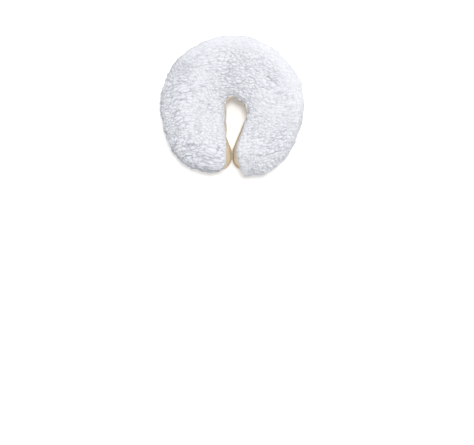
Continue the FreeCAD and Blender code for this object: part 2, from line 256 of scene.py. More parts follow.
# The outline's pieces from the right arm's end round the opening, and from the left arm's end
# round the outside.
INNER_SIDE = list(range(3, 12))
OUTER_SIDE = [12, 13, 14, 0, 1, 2]
ALL_ROUND = list(range(15))

SKIN = Outline(OUTER, CORNER, TIP, INNER_CORNER, OPENING)
FLEECE = Outline(OUTER + REACH, CORNER + REACH, TIP + REACH, FLEECE_INNER_CORNER, FLEECE_OPENING)


# -------- shapes as fields


def rounded(side, top, radius):
    """Where a side face and a top face meet in a rounding; negative inside both."""
    a, b = side + radius, top + radius
    corner = np.hypot(np.maximum(a, 0), np.maximum(b, 0))
    return np.minimum(np.maximum(a, b), 0) + corner - radius


def round_middle(x, up):
    """1 near the horseshoe's middle, 0 near its outside."""
    return smooth(118, 84, np.hypot(x, up))


def towards_opening(x, y):
    """1 on the side of the face opening and the slit, 0 on the outer side."""
    up = y - CENTRE_Y
    tip = smooth(0, -60, up) * smooth(46, 22, np.abs(x))
    return np.maximum(round_middle(x, up), tip)


def skin_top(inset):
    """Height of the vinyl's top face: crowned, and lower towards its edges."""
    return SKIN_TOP - 0.4 - 5 * (1 - np.clip(inset / 50, 0, 1)) ** 2


def skin_field(x, y, z, grow, lift):
    """The bare cushion, made larger by grow at its sides and by lift on top."""
    side = SKIN.distance(x, y)
    return rounded(side - grow, z - skin_top(-side) - lift, SHOULDER + grow)


def shoulder_point(turn, grow, lift):
    """Side distance and height on the shoulder of that space, from 0 at its wall to pi / 2 on top."""
    radius = SHOULDER + grow
    side = radius * np.cos(turn) - SHOULDER
    return side, skin_top(-side) + lift - radius * (1 - np.sin(turn))


def through(value, places, heights):
    """A smooth curve through some heights, level at each."""
    curve = np.full(np.shape(value), float(heights[0]))
    for k in range(len(places) - 1):
        step = heights[k + 1] - heights[k]
        curve += step * smooth(places[k], places[k + 1], value)
    return curve


def swell(x, y, middle_x, middle_y, width):
    """1 at one place in the plane, fading to 0 around it."""
    return np.exp(-((x - middle_x) ** 2 + (y - middle_y) ** 2) / width**2)


def fleece_side(x, y):
    """Distance to the fleece's edge, which isn't symmetric: the opening bulges to the right,
    the right arm is longer, and the left arm's outer corner is fuller."""
    up = y - CENTRE_Y
    left = through(up, (-110, -74, -45, -6, 4, 24), (-1, 1.8, 4.5, 9, 9.4, 3))
    places = (-150, -122, -108, -95, -74, -59, -33, -20, 4, 15, 30)
    right = through(up, places, (9, 0, -3, -3, 1, 5, 8, 11.5, 2.5, -4.5, -1))
    shift = mix(left, right, smooth(-10, 14, x))
    shift *= smooth(95, 35, np.abs(x)) * smooth(75, 28, up)
    longer = mix(-2.5, 8.0, smooth(-14, 14, x)) * smooth(-85, -140, up)
    lower = 8.0 * smooth(-12, 16, up) * smooth(85, 38, up) * smooth(90, 40, np.abs(x))
    side = FLEECE.distance(x - shift, y + longer + lower)
    for fuller, middle_x, middle_y, width in (
        (8.0, -100, -112, 38), (3.0, 112, -105, 26), (0.5, -165, 5, 60),
        (6.0, 160, 52, 17), (-3.5, 148, -80, 16), (-2.0, -78, 150, 30),
    ):
        side -= fuller * swell(x, up, middle_x, middle_y, width)
    return side


def fleece_outside(y, z, side, opening, inside):
    """The outside of the pile, before its tufts: it falls away from its middle to both edges."""
    crown = smooth(-40, 40, y - CENTRE_Y)
    outer_fall = 7.5 * (1 - np.clip(-side / 66, 0, 1)) ** 2
    inner_fall = mix(15, 25, crown) * (1 - np.clip(-side / 64, 0, 1)) ** 1.7
    top = FLEECE_TOP - 2.2 - mix(outer_fall, inner_fall, opening)
    outer_radius, opening_radius = 36.0, 17.0
    tuck = 5.0 * np.clip((COVER_SEAM - z) / 38, 0, 1) ** 2 * (1 - opening)
    form = rounded(side + tuck, z - top, mix(outer_radius, opening_radius, opening))
    least_pile = 8.5
    over_shoulder = rounded(side, inside - least_pile, 6.0)
    return np.minimum(form, over_shoulder)


def fleece_underside(x, y):
    """Height of the pile's lower edge: at the hem outside, and a lip round the opening."""
    up = y - CENTRE_Y
    end = smooth(-40, -70, up) * smooth(INNER_X + 0.5, INNER_X - 3, np.abs(x))
    return mix(HEM_TOP - 0.5, COVER_SEAM - 2.0, np.maximum(round_middle(x, up), end))


def fleece_fields(x, y, z):
    """The three faces of the fleece: its outside, the space inside the cover, its lower edge."""
    opening = towards_opening(x, y)
    inside = skin_field(x, y, z, COVER_GAP, COVER_LIFT)
    outside = fleece_outside(y, z, fleece_side(x, y), opening, inside)
    return outside, inside, fleece_underside(x, y) - z


# -------- meshes


def surface_of(values, corner, step):
    """Vertices and quads of a field's zero surface on a regular grid, by surface nets."""
    inside = values < 0
    first = inside[:-1, :-1, :-1]
    size = first.shape
    mixed = np.zeros(size, bool)
    axes = np.eye(3, dtype=int)
    corners = list(np.ndindex(2, 2, 2))
    for i, j, k in corners[1:]:
        mixed |= first != inside[i : i + size[0], j : j + size[1], k : k + size[2]]
    cells = np.argwhere(mixed)
    total = np.zeros((len(cells), 3))
    count = np.zeros(len(cells))
    for axis in range(3):
        end = axes[axis]
        for start in corners:
            if start[axis]:
                continue
            a = values[tuple((cells + start).T)]
            b = values[tuple((cells + start + end).T)]
            crossed = (a < 0) != (b < 0)
            share = np.where(crossed, a / np.where(crossed, a - b, 1), 0)
            total += (np.array(start) + share[:, None] * end) * crossed[:, None]
            count += crossed
    vertices = (cells + total / count[:, None]) * step + corner

    number = np.full(size, -1)
    number[tuple(cells.T)] = np.arange(len(cells))
    quads = []
    for axis in range(3):
        end = axes[axis]
        limit = np.array(values.shape) - end
        a = inside[: limit[0], : limit[1], : limit[2]]
        b = inside[end[0] :, end[1] :, end[2] :]
        edges = np.argwhere(a != b)
        u, v = np.roll(axes, -axis - 1, axis=0)[:2]
        ring = [edges - u - v, edges - v, edges, edges - u]
        faces = np.stack([number[tuple(cell.T)] for cell in ring], axis=1)
        leaving = a[tuple(edges.T)]
        quads.append(faces[leaving])
        quads.append(faces[~leaving][:, ::-1])
    return vertices, np.concatenate(quads)


def in_scene(name, data):
    made = bpy.data.objects.new(name, data)
    bpy.context.scene.collection.objects.link(made)
    return made


def dress(made, body, finish, material):
    """Puts a piece on its body, with its material; finish is not used."""
    made.data.materials.append(material)
    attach(made, body)
    return made


def new_object(name, vertices, faces, *dressing):
    """A smooth-shaded object from vertices in millimetres, with its body and material."""
    mesh = bpy.data.meshes.new(name)
    faces = faces if isinstance(faces, list) else faces.tolist()
    mesh.from_pydata(np.asarray(vertices) * MM, [], faces)
    mesh.shade_smooth()
    made = in_scene(name, mesh)
    return dress(made, *dressing) if dressing else made


def solid_object(*details):
    """A new object with its faces turned outwards."""
    made = new_object(*details)
    edit = bmesh.new()
    edit.from_mesh(made.data)
    bmesh.ops.recalc_face_normals(edit, faces=edit.faces)
    edit.to_mesh(made.data)
    edit.free()
    return made


def add_attribute(made, name, values):
    attribute = made.data.attributes.new(name, "FLOAT", "POINT")
    attribute.data.foreach_set("value", np.asarray(values, np.float32))


def field_surface(reach, past_tip, low_z, high_z, step, field):
    """The zero surface of a field on a grid that goes past the skin's outline by reach, and past
    the arms' ends by past_tip."""
    low = (-OUTER - reach, CENTRE_Y - TIP - past_tip, low_z)
    high = (OUTER + reach, CENTRE_Y + OUTER + reach, high_z)
    x, y, z = (np.arange(a, b + step, step) for a, b in zip(low, high))
    values = field(x[:, None, None], y[None, :, None], z[None, None, :])
    return surface_of(values, np.array(low), step)


def grid_faces(rows, columns, closed_rows=False, closed_columns=False):
    """Quads of a grid of points stored row by row."""
    shape = (rows - (not closed_rows), columns - (not closed_columns))
    row, column = np.indices(shape).reshape(2, -1)
    below, after = (row + 1) % rows, (column + 1) % columns
    corners = ((row, column), (below, column), (below, after), (row, after))
    return np.stack([r * columns + c for r, c in corners], axis=1)


def grid_normals(points, closed_columns):
    if closed_columns:
        across = np.roll(points, -1, 1) - np.roll(points, 1, 1)
    else:
        across = np.gradient(points, axis=1)
    normals = np.cross(np.gradient(points, axis=0), across)
    return normals / np.maximum(np.linalg.norm(normals, axis=-1, keepdims=True), 1e-9)


def sheet_faces(rows, columns, closed_columns=False):
    """Faces of a sheet's front, of its back, and of the rims between them."""
    total = rows * columns
    front = grid_faces(rows, columns, closed_columns=closed_columns)
    faces = [front, front[:, ::-1] + total]
    number = np.arange(total).reshape(rows, columns)
    rims = [number[0], number[-1, ::-1]]
    if closed_columns:
        rims = [np.append(rim, rim[0]) for rim in rims]
    else:
        rims = [number[::-1, 0], number[:, -1]] + rims
    for rim in rims:
        a, b = rim[:-1], rim[1:]
        faces.append(np.stack([a, b, b + total, a + total], axis=1))
    return np.concatenate(faces)


def thick_sheet(points, thickness, closed_columns=False):
    """Vertices and faces of a closed sheet, from a grid of points at the middle of its thickness."""
    half = grid_normals(points, closed_columns) * (thickness / 2)
    vertices = np.concatenate([points + half, points - half]).reshape(-1, 3)
    return vertices, sheet_faces(*points.shape[:2], closed_columns)


def sewn_row(name, places, along, outward, body, finish):
    """A row of separate stitches, each a short arched thread that dips into the cloth."""
    length, radius, sides = 2.4, 0.3, 6
    stations = np.array([-0.5, -0.44, -0.2, 0.2, 0.44, 0.5])
    widths = np.array([0.3, 0.85, 1, 1, 0.85, 0.3])
    lifts = np.array([-0.9, -0.35, 0.1, 0.1, -0.35, -0.9])
    angles = np.arange(sides) * math.tau / sides
    across = np.cross(along, outward)
    ring = across[:, None, :] * np.cos(angles)[None, :, None]
    ring = ring + outward[:, None, :] * np.sin(angles)[None, :, None]
    rows = []
    for station, width, lift in zip(stations, widths, lifts):
        middle = places + along * station * length + outward * lift * radius
        rows.append(middle[:, None, :] + ring * radius * width)
    vertices = np.stack(rows, axis=1).reshape(-1, 3)
    size = sides * len(stations)
    stitch = grid_faces(len(stations), sides, closed_columns=True).tolist()
    stitch += [list(range(sides))[::-1], list(range(size - sides, size))]
    firsts = range(0, len(places) * size, size)
    faces = [[v + first for v in face] for first in firsts for face in stitch]
    return solid_object(name, vertices, faces, body, finish, THREAD)


def along_outline(numbers, spacing):
    """Points in the plane, directions out of the material, and run length along the skin's outline."""
    points, outward = SKIN.run(numbers, spacing)
    steps = np.linalg.norm(np.diff(points, axis=0), axis=1)
    return points, outward, np.append(0, np.cumsum(steps))


def lifted(points, outward, side, height):
    """Points in space at a side distance and height over points of the outline."""
    flat = points[:, None, :] + outward[:, None, :] * side[..., None]
    return np.concatenate([flat, np.broadcast_to(height, side.shape)[..., None]], axis=2)


def ripple(a, b, seed):
    """Smooth noise over a grid of two coordinates, each already divided by its wavelength."""
    stacked = np.stack(np.broadcast_arrays(a, b, 0.0), axis=-1)
    return noise(stacked.reshape(-1, 3), 1.0, seed).reshape(stacked.shape[:-1])


# -------- materials


class Nodes:
    """A material's node tree, with short calls for what the materials here share."""

    def __init__(self, name, **finish):
        self.material = bpy.data.materials.new(name)
        self.material.use_nodes = True
        self.tree = self.material.node_tree
        self.shader = self.tree.nodes["Principled BSDF"]
        self.place = self.tree.nodes.new("ShaderNodeTexCoord").outputs["Object"]
        for setting, value in finish.items():
            self.shader.inputs[setting.replace("_", " ")].default_value = value

    def feed(self, socket, value):
        """Links a socket to another, or sets it to a plain value."""
        if isinstance(value, bpy.types.NodeSocket):
            self.tree.links.new(value, socket)
        else:
            socket.default_value = value

    def node(self, kind, inputs=(), **settings):
        made = self.tree.nodes.new(f"ShaderNode{kind}")
        for name, value in settings.items():
            setattr(made, name, value)
        for name, value in dict(inputs).items():
            self.feed(made.inputs[name], value)
        return made

    def noise(self, scale, detail=2.0, roughness=0.5):
        inputs = {"Vector": self.place, "Scale": scale, "Detail": detail, "Roughness": roughness}
        return self.node("TexNoise", inputs).outputs["Fac"]

    def wave(self, scale, direction, distortion, **more):
        inputs = {"Vector": self.place, "Scale": scale, "Distortion": distortion, **more}
        return self.node("TexWave", inputs, bands_direction=direction).outputs["Fac"]

    def cells(self, scale, feature="F1", randomness=1.0):
        inputs = {"Vector": self.place, "Scale": scale, "Randomness": randomness}
        return self.node("TexVoronoi", inputs, feature=feature).outputs["Distance"]

    def attribute(self, name):
        return self.node("Attribute", attribute_name=name).outputs["Fac"]

    def math(self, operation, a, b):
        made = self.node("Math", operation=operation)
        self.feed(made.inputs[0], a)
        self.feed(made.inputs[1], b)
        return made.outputs[0]

    def ramp(self, source, *stops):
        made = self.node("ValToRGB", {"Fac": source})
        elements = made.color_ramp.elements
        while len(elements) < len(stops):
            elements.new(0.5)
        for element, (position, colour) in zip(elements, stops):
            element.position = position
            element.color = (*colour, 1)
        return made.outputs["Color"]

    def multiply(self, a, b):
        """One colour multiplied by another."""
        made = self.node("Mix", data_type="RGBA", blend_type="MULTIPLY")
        for name, value in (("Factor", 1.0), ("A", a), ("B", b)):
            socket = next(s for s in made.inputs if s.name == name and s.enabled)
            self.feed(socket, value)
        return next(s for s in made.outputs if s.enabled)

    def bump(self, height, distance, strength):
        inputs = {"Height": height, "Distance": distance * MM, "Strength": strength}
        self.feed(self.shader.inputs["Normal"], self.node("Bump", inputs).outputs["Normal"])

    def colour(self, source):
        self.feed(self.shader.inputs["Base Color"], source)

    def roughness(self, source, low, high):
        made = self.node("MapRange", {"Value": source, "To Min": low, "To Max": high})
        self.feed(self.shader.inputs["Roughness"], made.outputs[0])


def fleece_material():
    """White curly pile: painted cool shade in the crevices, soft tips and a faint halo of fibre."""
    m = Nodes(
        "white_fleece_pile", Roughness=0.95, Specular_IOR_Level=0.15,
        Sheen_Weight=0.35, Sheen_Roughness=0.55, Sheen_Tint=(0.97, 0.98, 1.0, 1.0),
        Subsurface_Weight=0.25, Subsurface_Scale=2.5 * MM, Subsurface_Radius=(1.0, 0.95, 0.9),
    )
    # Base colour from the tip attribute: painted shade, dark and cool in the crevices, white on the
    # tufts.
    base = m.ramp(
        m.attribute("tip"),
        (0.0, (0.40, 0.405, 0.45)),
        (0.30, (0.68, 0.69, 0.735)),
        (0.65, (0.865, 0.87, 0.905)),
        (1.0, (0.91, 0.915, 0.95)),
    )
    patch = m.ramp(m.noise(22, 3), (0.35, (0.975, 0.977, 0.985)), (0.7, (1.0, 1.0, 1.0)))
    m.colour(m.multiply(base, patch))
    fibres = m.math("ADD", m.noise(900, 4, 0.7), m.math("MULTIPLY", m.noise(2600, 2), 0.5))
    curls = m.wave(150, "X", 26, **{"Detail": 3, "Detail Scale": 1.6})
    m.bump(m.math("ADD", fibres, m.math("MULTIPLY", curls, 0.7)), 1.1, 0.55)
    return m.material


def ribbed_material(name, wave, dark, light, bump, **finish):
    """Knit, thread or elastic with fine ribs, darker between them."""
    m = Nodes(name, **finish)
    ribs = m.wave(*wave)
    m.colour(m.ramp(ribs, (0.0, dark), (1.0, light)))
    m.bump(ribs, *bump)
    return m.material


def cotton_material():
    """Unbleached plain-weave cotton, a little uneven in colour."""
    m = Nodes("tan_cotton", Roughness=0.85, Sheen_Weight=0.15, Specular_IOR_Level=0.25)
    warp, weft, other = (m.wave(520, way, 0.6) for way in "XZY")
    threads = m.math("ADD", m.math("MULTIPLY", warp, other), weft)
    base = m.ramp(m.noise(60, 3), (0.3, (0.66, 0.53, 0.36)), (0.7, (0.76, 0.64, 0.46)))
    shade = m.ramp(threads, (0.2, (0.88, 0.87, 0.86)), (1.2, (1.0, 1.0, 1.0)))
    m.colour(m.multiply(base, shade))
    m.bump(threads, 0.12, 0.6)
    return m.material


def vinyl_material(name, colour):
    """Upholstery vinyl: a pebbled grain with a soft gloss and slightly darker grooves."""
    m = Nodes(name, Specular_IOR_Level=0.45, Coat_Weight=0.12, Coat_Roughness=0.45)
    pebbles = m.cells(780, "DISTANCE_TO_EDGE", 0.9)
    groove = m.ramp(pebbles, (0.0, (0, 0, 0)), (0.22, (1, 1, 1)))
    darker = tuple(0.80 * c for c in colour)
    lighter = tuple(min(1.0, 1.05 * c) for c in colour)
    patch = m.ramp(m.noise(26, 4), (0.3, darker), (0.75, lighter))
    shade = m.ramp(pebbles, (0.0, (0.86, 0.86, 0.86)), (0.12, (1, 1, 1)))
    m.colour(m.multiply(patch, shade))
    m.roughness(m.noise(140, 3), 0.38, 0.58)
    m.bump(groove, 0.09, 0.7)
    return m.material


def foam_material(name, colour):
    """Open-celled foam: round pores with darker hollows."""
    soft = {"Subsurface_Weight": 0.1, "Subsurface_Scale": 2.0 * MM}
    m = Nodes(name, Roughness=0.95, Specular_IOR_Level=0.1, **soft)
    pores = m.cells(620)
    dark = tuple(0.62 * c for c in colour)
    m.colour(m.ramp(pores, (0.05, dark), (0.45, colour)))
    m.bump(pores, 0.6, 0.8)
    return m.material


def tape_material():
    """Black nylon tape: a ribbed selvedge, and a field of small dull loops."""
    finish = {"Roughness": 0.75, "Sheen_Weight": 0.3, "Sheen_Roughness": 0.4}
    m = Nodes("black_loop_tape", Specular_IOR_Level=0.35, **finish)
    ribs = m.wave(430, "DIAGONAL", 0.4)
    loops = m.math("MULTIPLY", m.cells(1100), m.attribute("loops"))
    surface = m.math("ADD", loops, m.math("MULTIPLY", ribs, 0.35))
    m.colour(m.ramp(surface, (0.1, (0.012, 0.012, 0.014)), (0.9, (0.075, 0.075, 0.08))))
    m.bump(surface, 0.5, 0.9)
    return m.material


PILE = fleece_material()
BACKING = ribbed_material(
    "fleece_knit_back", (180, "X", 1.5), (0.66, 0.65, 0.62), (0.83, 0.825, 0.80), (0.5, 0.7),
    Roughness=0.9, Sheen_Weight=0.2, Specular_IOR_Level=0.2,
)
COTTON = cotton_material()
VINYL = vinyl_material("tan_vinyl", (0.60, 0.47, 0.31))
WELT = vinyl_material("tan_vinyl_welt", (0.52, 0.40, 0.25))
FIRM_FOAM = foam_material("firm_foam", (0.72, 0.70, 0.60))
SOFT_FOAM = foam_material("soft_foam", (0.88, 0.83, 0.62))
TAPE = tape_material()
THREAD = ribbed_material(
    "cream_thread", (900, "DIAGONAL", 0.2), (0.55, 0.50, 0.40), (0.85, 0.81, 0.70), (0.08, 0.8),
    Roughness=0.5, Sheen_Weight=0.2, Specular_IOR_Level=0.4,
)
ELASTIC = ribbed_material(
    "white_elastic", (260, "Z", 0.3), (0.62, 0.62, 0.60), (0.86, 0.86, 0.84), (0.3, 0.8),
    Roughness=0.7, Sheen_Weight=0.15, Specular_IOR_Level=0.3,
)


# -------- the fleece cover

PILE_STEP = 1.25


def pile(points):
    """Height of the curly pile over its mean surface, and the painted shade of its colour: 0, darkest,
    in a crevice to 1 on a tuft.
    """
    drift = 8 * noise_vector(points, 52, 11) + 2.4 * noise_vector(points, 10, 17)
    warped = points + drift
    turn = 0.32 * noise(points, 80, 41)
    across = warped[:, 0] * np.cos(turn) + warped[:, 1] * np.sin(turn)
    upward = warped[:, 1] * np.cos(turn) - warped[:, 0] * np.sin(turn)
    turned = np.stack([across, upward, warped[:, 2]], axis=1)

    near, far, away, number, level = cell_pattern(turned, (9.5, 6.0, 7.0), 31)
    gap = far - near
    long_near, long_far, _, long_number, long_level = cell_pattern(turned, (17.0, 6.6, 7.5), 57)
    long_gap = long_far - long_near
    rows = smooth(-0.3, 0.5, noise(points, 70, 5) + 0.7 * smooth(10, -60, points[:, 0]) - 0.1)
    tuft = 1 - (1 - np.clip(gap / 0.62, 0, 1)) ** 2.0
    row = 1 - (1 - np.clip(long_gap / 0.5, 0, 1)) ** 2.0
    taller = mix(number, long_number, rows) - 0.5
    crease = mix(np.clip(gap / 0.34, 0, 1), np.clip(long_gap / 0.27, 0, 1), rows)

    combed = np.abs(noise(turned / (3.6, 1.0, 1.2), 9.0, 71))
    fold = smooth(0.0, 0.13, combed)

    angle = number * 37.7
    strand = away[:, 0] * np.cos(angle) + away[:, 1] * np.sin(angle) + away[:, 2] * 0.6
    strand = np.sin(strand * 14 + 8 * near**2 + angle)
    small_near, small_far, *_ = cell_pattern(warped, 3.9, 83)
    bead = np.clip((small_far - small_near) / 0.5, 0, 1)

    main = mix(tuft, row, rows)
    height = 3.1 * main + 1.4 * taller + 0.4 * strand * main + 0.7 * bead
    height += 0.9 * (fold - 1) + 1.6 * noise(points, 34, 3) + 1.0 * noise(points, 17, 7)

    # Painted shade: the colour darkens in crevices, folds and between beads and strands, more where a
    # crevice runs level.
    crevice_painted_shade = mix(0.4, 0.85, smooth(-0.6, 0.5, noise(points, 11, 91)))
    crevice_painted_shade *= mix(0.25, 1.0, mix(level, long_level, rows) ** 2)
    tip = 1 - mix(0.42, 1.12, crevice_painted_shade) * (1 - crease) ** 1.2
    tip -= 0.22 * (1 - fold) + 0.18 * (1 - bead) + 0.05 * (1 - strand)
    return height - 2.9, np.clip(tip, 0, 1)


def seam_wave(x, y):
    """The sewn edge wanders between tufts, so that the pile hides it."""
    return 3.0 * ripple(x / 9, y / 9, seed=61) + 1.2 * ripple(x / 4, y / 4, seed=62)


def fleece_piece(name, low_z, high_z, above):
    """A closed piece of the fleece, above or below the cover's seam, with its tufts."""

    def field(x, y, z):
        outside, inside, under = fleece_fields(x, y, z)
        seam = COVER_SEAM + seam_wave(x, y)
        cut = seam - 0.5 - z if above else z - seam - 0.5
        return np.maximum(np.maximum(outside, -inside), np.maximum(under, cut))

    vertices, quads = field_surface(REACH + 8, REACH + 12, low_z, high_z, PILE_STEP, field)
    outside, inside, _ = fleece_fields(*vertices.T)
    way = np.zeros_like(vertices)
    for axis in range(3):
        nudge = np.eye(3)[axis] * 0.5
        ahead = fleece_fields(*(vertices + nudge).T)[0]
        way[:, axis] = ahead - fleece_fields(*(vertices - nudge).T)[0]
    way /= np.maximum(np.linalg.norm(way, axis=1), 0.2)[:, None]

    height, tip = pile(vertices)
    x, y, _ = vertices.T
    from_centre = np.hypot(x, y - CENTRE_Y)
    rim = smooth(95, 140, from_centre)
    smoother = smooth(105, 140, from_centre) * smooth(20, 90, y + 0.4 * x)
    height += rim * (3.2 * noise(vertices, 24, 9) + 2.2 * noise(vertices, 11, 10))
    height = (height + 1.3 * rim * noise(vertices, 5.5, 12)) * (1 - 0.5 * smoother)
    # On the smoother rim towards the crown and the right, the painted crevice shade is halved, which
    # paints that rim lighter.
    tip = mix(tip, 0.5 + 0.5 * tip, smoother)
    # Painted shade: the rim's colour darker on the left side.
    tip = np.clip(tip, 0, 1) ** (1 + 0.35 * rim * smooth(20, -90, x))
    # Painted shade on the steep sides of the rim, stronger on the left.
    steep_rim_painted_shade = smooth(0.75, 0.15, way[:, 2]) * rim
    tip *= 1 - steep_rim_painted_shade * mix(0.45, 0.8, smooth(40, -60, x))
    # Painted shade on the whole rim, stronger towards the crown.
    tip *= 1 - rim * mix(0.14, 0.34, smooth(-40, 40, y))
    # Painted shade on the crown's slope down to the face opening.
    tip *= 1 - 0.3 * swell(x, y - CENTRE_Y, 5, 68, 36)
    weight = smooth(-7.0, -1.0, outside) * smooth(1.0, 4.0, inside)
    moved = vertices + way * (height * weight)[:, None]
    made = new_object(name, moved, quads, COVER, "fleece", PILE)
    # The tip attribute carries the painted shade into the pile's colour.
    add_attribute(made, "tip", mix(0.6, tip, weight))
    centre = vertices[quads].mean(axis=1)
    backing = fleece_fields(*centre.T)[1] < 0.8
    made.data.materials.append(BACKING)
    made.data.polygons.foreach_set("material_index", backing.astype(np.int32))
    return made


def pile_reach(points, outward):
    """How far out from the skin's outline the pile's edge stands, at each point."""
    steps = np.arange(-26, 40, 0.5)
    sample = points[:, None, :] + outward[:, None, :] * steps[None, :, None]
    beyond = fleece_side(sample[..., 0], sample[..., 1]) > 0
    reach = steps[np.argmax(beyond, axis=1)]
    kernel = np.ones(5) / 5
    return np.convolve(np.pad(reach, 2, mode="edge"), kernel, mode="valid")


def cover_band():
    """The cotton down the opening and the slit: up the wall and over the shoulder under the pile.
    Where the pile overhangs, it turns out under the lip instead, and its edge binds the pile."""
    points, outward, run = along_outline(INNER_SIDE, 1.8)
    reach = pile_reach(points, outward)[:, None]
    off = COVER_GAP + 0.8
    foot, lip_foot, wall_rows = HEM_TOP - 1, 40, 14
    up = np.linspace(0, 1, wall_rows)
    wall_top = shoulder_point(0.0, off, COVER_LIFT)[1]
    turn = np.linspace(0, math.radians(78), 17)[1:]
    side, height = shoulder_point(turn, off, COVER_LIFT)
    shell_side = np.concatenate([np.full(wall_rows, off), side])
    shell_height = np.concatenate([mix(foot, wall_top, up), height])

    out = np.linspace(0, 1, 13)[1:]
    left = smooth(4, -6, points[:, :1])
    crown = smooth(0, 16, points[:, 1:] - CENTRE_Y)
    bound = mix(-1.8, 1.0, left) - 2.6 * crown
    bound += 0.8 * ripple(run[:, None] / 9, 0.5, seed=204)
    wall = np.broadcast_to(off, (len(points), wall_rows))
    lip = off + (reach + bound - 0.3 - off) * out**1.6
    curl = reach + bound + np.array([0, -0.1, -0.9, -2.2])
    hang_side = np.concatenate([wall, lip, curl], axis=1)
    lip_height = lip_foot + 10.8 * (1 - (1 - out) ** 2.2)
    curl_height = np.array([51.6, 53.0, 54.0, 54.2])
    hang_height = np.concatenate([mix(foot, lip_foot, up), lip_height, curl_height])
    from_end = np.minimum(run, run[-1] - run)[:, None]
    hang = smooth(0, 8, reach) * smooth(24, 50, from_end)
    side = mix(shell_side, hang_side, hang)
    height = mix(shell_height, hang_height, hang)

    s = run[:, None]
    gather = smooth(40, 14, height)
    side = side + (0.15 + 0.45 * gather) * ripple(s / 5.5, height / 30, seed=201)
    side = side + 0.3 * ripple(s / 17, height / 14, seed=202)
    height = height + 0.5 * hang * ripple(s / 7, height / 9, seed=203)
    grid = lifted(points, outward, side, height)
    made = solid_object("cover_band", *thick_sheet(grid, 0.9), COVER, "cotton", COTTON)
    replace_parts(made, "cover_inner_band")


def hem(name, numbers, depth, bulk, seed):
    """A gathered casing of cotton round the elastic, and the row of thread that closes it."""
    points, outward, run = along_outline(numbers, 1.7)
    middle, half = (HEM_BOTTOM + HEM_TOP) / 2, (HEM_TOP - HEM_BOTTOM) / 2 - 0.45
    angle = np.arange(28) * math.tau / 28
    s = run[:, None]
    cosine, sine = np.cos(angle), np.sin(angle)
    wide = np.sign(cosine) * np.abs(cosine) ** 0.55
    tall = np.sign(sine) * np.abs(sine) ** 0.7
    pinch = 1 - 0.25 * smooth(0.5, 0.95, tall) * (wide > 0)
    side = COVER_GAP + 0.5 + depth / 2 + depth / 2 * wide * pinch
    gather = ripple(s / 4.6, tall / 2, seed=seed) + 0.6 * ripple(s / 2.4, tall, seed=seed + 1)
    side = side + bulk * gather * np.clip(wide + 0.2, 0, 1)
    height = middle + half * tall + 0.35 * ripple(s / 6, wide / 3, seed=seed + 2)
    grid = lifted(points, outward, side, height)
    shell = thick_sheet(grid, 0.6, closed_columns=True)
    made = solid_object(name, *shell, COVER, "cotton", COTTON)

    picked = np.arange(1, len(points) - 1, 2)
    face = int(np.argmin(np.abs(tall - 0.62) + 9 * (wide < 0)))
    out = np.pad(outward[picked], ((0, 0), (0, 1)))
    places = grid[picked, face] + 0.55 * out
    along = grid[picked + 1, face] - grid[picked - 1, face]
    along /= np.linalg.norm(along, axis=1, keepdims=True)
    out -= along * (along * out).sum(axis=1, keepdims=True)
    return made, sewn_row(f"{name}_stitches", places, along, out, COVER, "hem_thread")


# -------- the cushion


def in_inner_zone(x, y):
    """Where the side wall belongs to the inner band: slit, arm ends and opening."""
    up = y - CENTRE_Y
    arms, crown, half_width = -88, 75, 70
    slit = abs(x) < INNER_X and up < arms
    return slit or (abs(x) < half_width and arms <= up < crown)


def closed_cushion(step, grow):
    def field(x, y, z):
        return np.maximum(skin_field(x, y, z, grow, grow), SKIN_BOTTOM - z)

    return field_surface(8, 8, SKIN_BOTTOM - 2.5 * step, SKIN_TOP + 2 * step, step, field)


def near_seam(height, width):
    top = np.exp(-(((height - TOP_SEAM) / width) ** 2))
    return np.maximum(top, np.exp(-(((height - BOTTOM_SEAM) / width) ** 2)))


def inflate(made, held, most):
    """Swells a closed form by cloth simulation. Some points are held, and none moves past most."""
    start = points_of(made)
    group = made.vertex_groups.new(name="seams")
    for index in np.flatnonzero(held > 0.05):
        group.add([int(index)], float(held[index]), "REPLACE")
    cloth = made.modifiers.new("cloth", "CLOTH")
    cloth.settings.quality = 5
    cloth.settings.mass = 0.3
    cloth.settings.vertex_group_mass = "seams"
    cloth.settings.use_pressure = True
    cloth.settings.uniform_pressure_force = 4
    cloth.settings.effector_weights.gravity = 0
    cloth.collision_settings.use_collision = False
    for frame_number in range(1, 21):
        bpy.context.scene.frame_set(frame_number)
    seen = made.evaluated_get(bpy.context.evaluated_depsgraph_get())
    end = points_of(seen)
    made.modifiers.remove(cloth)
    bpy.context.scene.frame_set(1)
    move = end - start
    length = np.linalg.norm(move, axis=1, keepdims=True)
    move *= np.minimum(1, most / np.maximum(length, 1e-6))
    move[:, 2] = np.where(start[:, 2] > TOP_SEAM, np.maximum(move[:, 2], -0.5), move[:, 2])
    place_points(made, start + move)


def vectors_of(made, name):
    values = np.empty(len(made.data.vertices) * 3, np.float32)
    made.data.vertices.foreach_get(name, values)
    return values.reshape(-1, 3).astype(float)


def points_of(made):
    return vectors_of(made, "co") / MM


def place_points(made, points):
    made.data.vertices.foreach_set("co", (points * MM).astype(np.float32).ravel())
    made.data.update()


def square_corner(points, reach):
    """Draws the rounded lower edge of the form out to the seam."""
    x, y, z = points.T
    across = SKIN.distance(x, y)
    nudge = 0.5
    slope_x = SKIN.distance(x + nudge, y) - SKIN.distance(x - nudge, y)
    slope_y = SKIN.distance(x, y + nudge) - SKIN.distance(x, y - nudge)
    length = np.maximum(np.hypot(slope_x, slope_y), 0.3)
    inward = np.clip(reach + across, 0, reach)
    down = np.clip(reach + SKIN_BOTTOM - z, 0, reach)
    power = 9.0
    square = (inward**power + down**power) ** (1 / power)
    grow = np.hypot(inward, down) / np.maximum(square, 1e-3)
    grow = np.where(square > 0.5 * reach, grow, 1.0) - 1
    moved = points.copy()
    moved[:, 0] += slope_x / length * inward * grow
    moved[:, 1] += slope_y / length * inward * grow
    moved[:, 2] -= down * grow
    return moved


